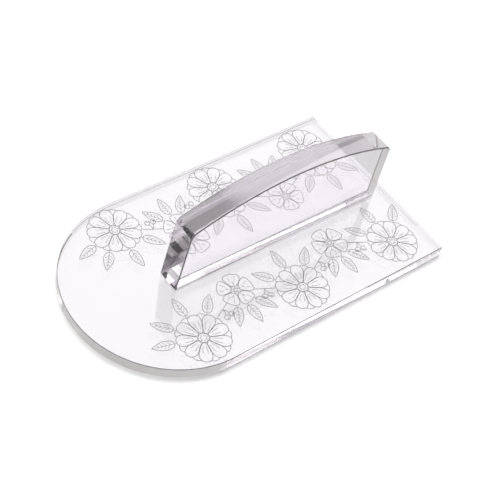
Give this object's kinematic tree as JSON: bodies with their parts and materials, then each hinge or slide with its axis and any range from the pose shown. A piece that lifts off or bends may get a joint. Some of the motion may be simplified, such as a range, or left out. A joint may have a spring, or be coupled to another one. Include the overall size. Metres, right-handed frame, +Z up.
{
  "type": "fondant smoother",
  "caption": "Clear acrylic fondant smoother: a flat plate with one round and one straight end, and an arched grip bar bonded upright along it for pressing icing smooth.",
  "frame": {"origin": "middle of the working face, the plate's underside that rests on the icing or the table", "axes": "+X along the plate towards its straight end, +Y across the plate, +Z up towards the grip bar"},
  "size_m": [0.15, 0.085, 0.0442],
  "materials": {
    "acrylic": "clear, polished on every face",
    "adhesive": "clear, cured with a smooth bead"
  },
  "bodies": {
    "root": {"base_plate": "acrylic", "grip_handle": "acrylic", "adhesive_bond": "adhesive"}
  },
  "joints": []
}
